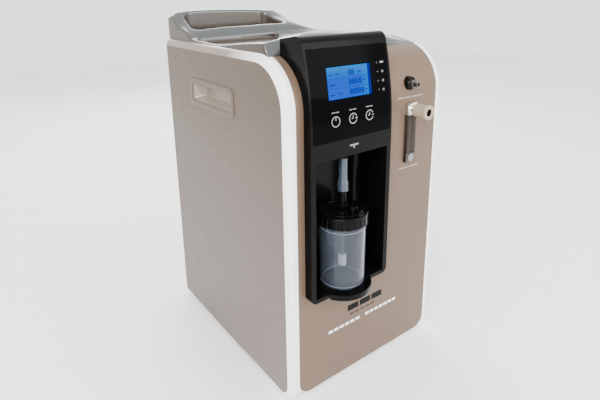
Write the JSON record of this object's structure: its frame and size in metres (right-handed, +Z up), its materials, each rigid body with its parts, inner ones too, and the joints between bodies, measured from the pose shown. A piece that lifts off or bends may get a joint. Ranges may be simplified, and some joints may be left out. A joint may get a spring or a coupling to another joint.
{
  "type": "oxygen concentrator",
  "caption": "Floor-standing home oxygen concentrator with a leaning display console, humidifier bay, flowmeter, swept carry handle and compressor with sieve beds inside.",
  "frame": {"origin": "on the floor under the middle of the outline, from the shelf lip to the side panels' rear edge", "axes": "+Z up, +Y from the console at the front to the rear panel, +X to the right seen from the front"},
  "size_m": [0.3074, 0.422, 0.572],
  "materials": {
    "champagne": "satin champagne lacquer",
    "side_champagne": "satin champagne-grey lacquer",
    "white": "gloss white",
    "grey_cover": "satin silver-grey",
    "black": "satin black",
    "black_gloss": "gloss black",
    "display": "backlit blue",
    "board": "solder mask",
    "clear": "clear plastic",
    "clear_blue": "soft clear tube",
    "cream": "cream plastic",
    "chrome": "plated",
    "rubber": "matte",
    "steel": "plain",
    "zinc_sheet": "zinc",
    "aluminium": "cast",
    "copper": "drawn copper",
    "foam": "open foam",
    "porous": "sintered",
    "dark_grey": "fine grain"
  },
  "bodies": {
    "case": {"left_side_panel": "side_champagne", "right_side_panel": "side_champagne", "grip_cups": "side_champagne", "front_trim_ring": "white", "front_panel": "champagne", "top_cover": "grey_cover", "rear_panel": "dark_grey", "rear_screws": "steel", "base_tray": "zinc_sheet", "rubber_feet": "rubber", "console_housing": "black", "console_face": "black_gloss", "lcd_module": "display", "indicator_lamps": "clear", "control_board": "board", "humidifier_bay": "black", "shelf_lip": "black", "oxygen_port": "black", "nebuliser_port": "black", "flowmeter_block": "clear", "flowmeter_fittings": "chrome", "hinge_pin": "steel", "intake_filter": "foam", "power_inlet": "black", "breaker_body": "black", "inner_frame": "zinc_sheet", "compressor_mounts": "rubber", "motor_housing": "aluminium", "crankcases": "aluminium", "cylinder_heads": "aluminium", "sieve_beds": "aluminium", "product_tank": "aluminium", "valve_block": "aluminium", "solenoid_valves": "black", "pressure_regulator": "dark_grey", "cooling_coil": "copper", "fan_frame": "black", "silencer": "dark_grey", "power_board": "board", "product_hose": "clear_blue"},
    "power_key": {"key_power": "black_gloss"},
    "timer_more_key": {"key_timer_more": "black_gloss"},
    "timer_less_key": {"key_timer_less": "black_gloss"},
    "flow_control": {"flow_knob": "cream", "valve_spindle": "steel"},
    "float": {"float_ball": "black"},
    "humidifier": {"link_tube": "clear_blue", "inlet_stem": "black", "humidifier_cap": "black", "outlet_barb": "black", "dip_tube": "clear", "bubble_diffuser": "porous", "jar_seal": "rubber"},
    "humidifier_jar": {"jar": "clear"},
    "intake_door": {"filter_door": "dark_grey"},
    "reset_button": {"breaker_button": "black"},
    "compressor_shaft": {"crankshaft": "steel"},
    "left_piston": {"piston_left": "aluminium"},
    "right_piston": {"piston_right": "aluminium"},
    "cooling_fan": {"fan_rotor": "black"}
  },
  "joints": [
    {"name": "power_key_press", "type": "slide", "parent": "case", "child": "power_key", "axis": [0, 0.9984, -0.0565], "range_m": [0, 0.0008], "stiffness_N_per_m": 2000, "springref_m": -0.0002},
    {"name": "timer_more_key_press", "type": "slide", "parent": "case", "child": "timer_more_key", "axis": [0, 0.9984, -0.0565], "range_m": [0, 0.0008], "stiffness_N_per_m": 2000, "springref_m": -0.0002},
    {"name": "timer_less_key_press", "type": "slide", "parent": "case", "child": "timer_less_key", "axis": [0, 0.9984, -0.0565], "range_m": [0, 0.0008], "stiffness_N_per_m": 2000, "springref_m": -0.0002},
    {"name": "flow_knob_turn", "type": "hinge", "parent": "case", "child": "flow_control", "pos_m": [0.077, -0.209, 0.427], "axis": [0, 1, 0], "range_deg": [0, 1080]},
    {"name": "float_rise", "type": "slide", "parent": "case", "child": "float", "axis": [0, 0, 1], "range_m": [0, 0.054]},
    {"name": "humidifier_pull", "type": "slide", "parent": "case", "child": "humidifier", "axis": [0, -1, 0], "range_m": [0, 0.15]},
    {"name": "jar_unscrew", "type": "hinge", "parent": "humidifier", "child": "humidifier_jar", "pos_m": [-0.053, -0.167, 0.285], "axis": [0, 0, 1], "range_deg": [0, 360]},
    {"name": "intake_door_hinge", "type": "hinge", "parent": "case", "child": "intake_door", "pos_m": [0.08, 0.2074, 0.352], "axis": [-1, 0, 0], "range_deg": [0, 100]},
    {"name": "reset_press", "type": "slide", "parent": "case", "child": "reset_button", "axis": [0, -1, 0], "range_m": [0, 0.002], "stiffness_N_per_m": 1500, "springref_m": -0.0004},
    {"name": "compressor_shaft_turn", "type": "hinge", "parent": "case", "child": "compressor_shaft", "pos_m": [0, 0.044, 0.089], "axis": [1, 0, 0], "continuous": true},
    {"name": "left_piston_stroke", "type": "slide", "parent": "case", "child": "left_piston", "axis": [0, 0, 1], "range_m": [-0.005, 0.005]},
    {"name": "right_piston_stroke", "type": "slide", "parent": "case", "child": "right_piston", "axis": [0, 0, 1], "range_m": [-0.005, 0.005]},
    {"name": "cooling_fan_turn", "type": "hinge", "parent": "case", "child": "cooling_fan", "pos_m": [0.075, -0.046, 0.195], "axis": [0, 0, 1], "continuous": true}
  ]
}
